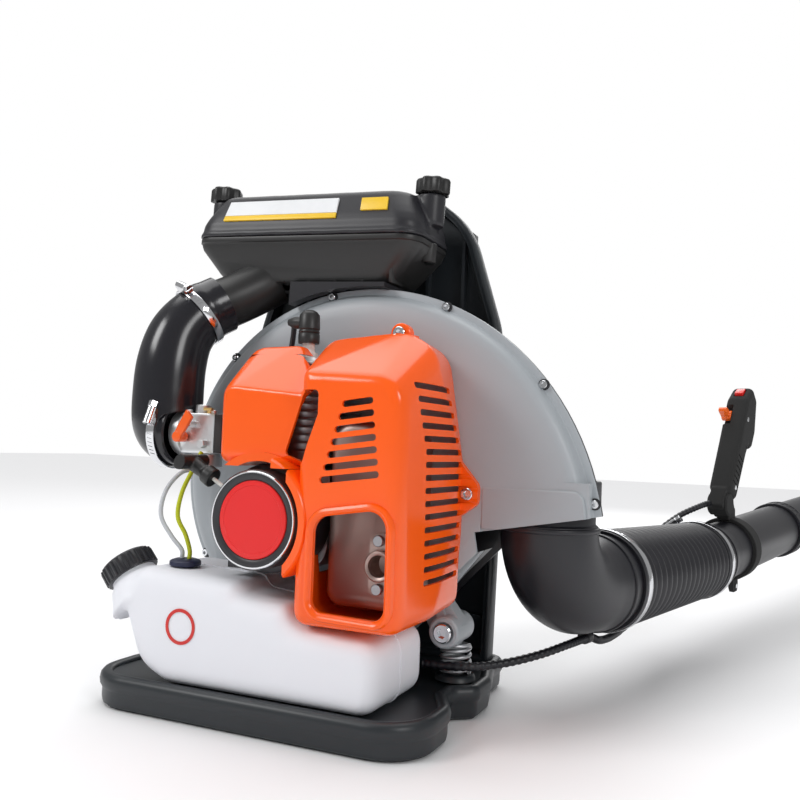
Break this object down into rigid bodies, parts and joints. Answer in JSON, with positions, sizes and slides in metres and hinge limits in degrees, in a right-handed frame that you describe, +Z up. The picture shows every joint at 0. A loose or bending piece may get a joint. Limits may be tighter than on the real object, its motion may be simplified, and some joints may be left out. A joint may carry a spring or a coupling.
{
  "type": "backpack leaf blower",
  "caption": "Petrol backpack blower: two-stroke engine and fan on a backpack frame, with an elbow, flexible hose, throttle grip and tubes that aim the air jet.",
  "frame": {"origin": "centre of the base's underside, on the floor", "axes": "+X to the wearer's right, +Y towards the wearer's back (the engine faces -Y), +Z up"},
  "size_m": [0.7915, 1.5055, 0.5153],
  "materials": {
    "frame_black": "satin",
    "pad_fabric": "woven",
    "strap_webbing": "woven",
    "buckle_black": "satin",
    "spring_steel": "bright",
    "housing_grey": "satin",
    "housing_dark": "satin",
    "screw_steel": "zinc plated",
    "fan_plastic": "satin",
    "cast_aluminium": "cast",
    "machined_aluminium": "machined",
    "forged_steel": "machined",
    "bearing_steel": "ground",
    "coil_black": "satin",
    "plug_ceramic": "glazed",
    "boot_rubber": "satin",
    "insulator_black": "matte",
    "choke_orange": "gloss",
    "brass": "satin",
    "primer_red": "clear",
    "muffler_steel": "heat tinted",
    "cover_orange": "gloss",
    "starter_black": "satin",
    "badge_red": "satin",
    "reel_nylon": "satin",
    "handle_rubber": "satin",
    "rope_white": "braided",
    "tank_white": "translucent",
    "cap_black": "satin",
    "gasket_rubber": "matte",
    "grommet_rubber": "satin",
    "fuel_hose_yellow": "clear",
    "fuel_hose_clear": "clear",
    "airbox_black": "satin",
    "airlid_black": "satin",
    "knob_black": "satin",
    "filter_foam": "pleated",
    "intake_rubber": "gloss",
    "clamp_steel": "bright",
    "bracket_black": "satin",
    "duct_black": "satin",
    "hose_black": "satin",
    "grip_black": "grained",
    "trigger_red": "satin",
    "lever_orange": "gloss",
    "switch_red": "gloss",
    "cable_black": "satin"
  },
  "bodies": {
    "machine": {"base_frame": "frame_black", "back_pad": "pad_fabric", "shoulder_strap_left": "strap_webbing", "shoulder_strap_right": "strap_webbing", "strap_buckles": "buckle_black", "spring_mounts": "spring_steel", "volute_front": "housing_grey", "volute_rear": "housing_dark", "housing_screws": "screw_steel", "crankcase": "cast_aluminium", "engine_cylinder": "cast_aluminium", "piston": "machined_aluminium", "con_rod": "forged_steel", "main_bearings": "bearing_steel", "ignition_coil": "coil_black", "spark_plug": "plug_ceramic", "plug_cap": "boot_rubber", "carburettor": "machined_aluminium", "intake_adaptor": "insulator_black", "muffler": "muffler_steel", "engine_cover": "cover_orange", "starter_housing": "starter_black", "starter_badge": "badge_red", "recoil_spring": "spring_steel", "starter_rope": "rope_white", "fuel_tank": "tank_white", "tank_grommet": "grommet_rubber", "fuel_line": "fuel_hose_yellow", "return_line": "fuel_hose_clear", "air_case": "airbox_black", "filter_element": "filter_foam", "intake_elbow": "intake_rubber", "intake_clamps": "clamp_steel", "air_box_bracket": "bracket_black", "throttle_cable_lower": "cable_black"},
    "rotor": {"crankshaft": "forged_steel", "flywheel": "cast_aluminium", "fan_impeller": "fan_plastic"},
    "reel": {"starter_reel": "reel_nylon"},
    "pull_handle": {"starter_handle": "handle_rubber"},
    "choke": {"choke_lever": "choke_orange"},
    "throttle_shaft": {"throttle_arm": "brass"},
    "primer": {"primer_bulb": "primer_red"},
    "cap_seal": {"cap_gasket": "gasket_rubber"},
    "tank_cap": {"fuel_cap": "cap_black"},
    "air_lid": {"air_cover": "airlid_black"},
    "lid_knob_left": {"air_knob_left": "knob_black"},
    "lid_knob_right": {"air_knob_right": "knob_black"},
    "elbow": {"outlet_elbow": "duct_black", "hose_clamp_rear": "clamp_steel", "flex_hose": "hose_black", "throttle_cable_upper": "cable_black"},
    "blow_tube": {"control_tube": "duct_black", "hose_clamp_front": "clamp_steel", "handle_grip": "grip_black"},
    "extension": {"extension_tube": "duct_black"},
    "nozzle_tip": {"nozzle": "duct_black"},
    "trigger": {"throttle_trigger": "trigger_red"},
    "cruise": {"cruise_lever": "lever_orange"},
    "switch": {"stop_switch": "switch_red"}
  },
  "joints": [
    {"name": "rotor_spin", "type": "hinge", "parent": "machine", "child": "rotor", "pos_m": [0.003, 0, 0.173], "axis": [0, 1, 0], "continuous": true},
    {"name": "starter_pull", "type": "slide", "parent": "machine", "child": "pull_handle", "axis": [-0.866, 0, 0.5], "range_m": [0, 0.75], "stiffness_N_per_m": 15, "springref_m": -0.5, "deforming": ["starter_rope"]},
    {"name": "reel_spin", "type": "hinge", "parent": "machine", "child": "reel", "pos_m": [0.003, -0.1, 0.173], "axis": [0, 1, 0], "range_deg": [0, 1700]},
    {"name": "choke_turn", "type": "hinge", "parent": "machine", "child": "choke", "pos_m": [-0.112, -0.07, 0.24], "axis": [0, 1, 0], "range_deg": [0, 75]},
    {"name": "throttle_turn", "type": "hinge", "parent": "machine", "child": "throttle_shaft", "pos_m": [-0.088, -0.062, 0.262], "axis": [0, 0, 1], "range_deg": [0, 61]},
    {"name": "primer_press", "type": "slide", "parent": "machine", "child": "primer", "axis": [0, 0, 1], "range_m": [0, 0.004], "stiffness_N_per_m": 250, "springref_m": -0.004},
    {"name": "cap_lift", "type": "slide", "parent": "machine", "child": "cap_seal", "axis": [-0.6428, 0, 0.766], "range_m": [0, 0.009]},
    {"name": "cap_turn", "type": "hinge", "parent": "cap_seal", "child": "tank_cap", "pos_m": [-0.134, -0.094, 0.103], "axis": [-0.6428, 0, 0.766], "range_deg": [0, 720]},
    {"name": "air_cover_lift", "type": "slide", "parent": "machine", "child": "air_lid", "axis": [0.0436, 0, 0.999], "range_m": [0, 0.15]},
    {"name": "knob_left_turn", "type": "hinge", "parent": "air_lid", "child": "lid_knob_left", "pos_m": [-0.16088, 0.046, 0.45037], "axis": [0.0436, 0, 0.999], "range_deg": [0, 1080]},
    {"name": "knob_right_turn", "type": "hinge", "parent": "air_lid", "child": "lid_knob_right", "pos_m": [0.08488, 0.046, 0.43963], "axis": [0.0436, 0, 0.999], "range_deg": [0, 1080]},
    {"name": "elbow_swivel", "type": "hinge", "parent": "machine", "child": "elbow", "pos_m": [0.213, 0.045, 0.174], "axis": [0, 0, 1], "range_deg": [-20, 20], "deforming": ["throttle_cable_lower"]},
    {"name": "hose_flex", "type": "hinge", "parent": "elbow", "child": "blow_tube", "pos_m": [0.27714, 0.27627, 0.112], "axis": [0.9636, -0.2672, 0], "range_deg": [-15, 25], "deforming": ["flex_hose", "throttle_cable_upper"]},
    {"name": "extension_twist", "type": "hinge", "parent": "blow_tube", "child": "extension", "pos_m": [0.40551, 0.73916, 0.13306], "axis": [0.2667, 0.9618, 0.0611], "range_deg": [0, 25]},
    {"name": "nozzle_twist", "type": "hinge", "parent": "extension", "child": "nozzle_tip", "pos_m": [0.49086, 1.04694, 0.1526], "axis": [0.2667, 0.9618, 0.0611], "range_deg": [0, 25]},
    {"name": "trigger_squeeze", "type": "hinge", "parent": "blow_tube", "child": "trigger", "pos_m": [0.3496, 0.53757, 0.2547], "axis": [-0.9636, 0.2672, 0], "range_deg": [0, 20], "stiffness_Nm_per_rad": 0.3, "springref_deg": -17.19},
    {"name": "cruise_turn", "type": "hinge", "parent": "blow_tube", "child": "cruise", "pos_m": [0.3324, 0.53842, 0.29755], "axis": [0.9636, -0.2672, 0], "range_deg": [0, 50]},
    {"name": "stop_switch_rock", "type": "hinge", "parent": "blow_tube", "child": "switch", "pos_m": [0.354, 0.55342, 0.3309], "axis": [0.9636, -0.2672, 0], "range_deg": [0, 8]}
  ],
  "couplings": [
    {"joint": "reel_spin", "follows": "starter_pull", "rad_per_m": 38.462},
    {"joint": "throttle_turn", "follows": "trigger_squeeze", "ratio": 3},
    {"joint": "cap_lift", "follows": "cap_turn", "m_per_rad": 0.00063662}
  ]
}
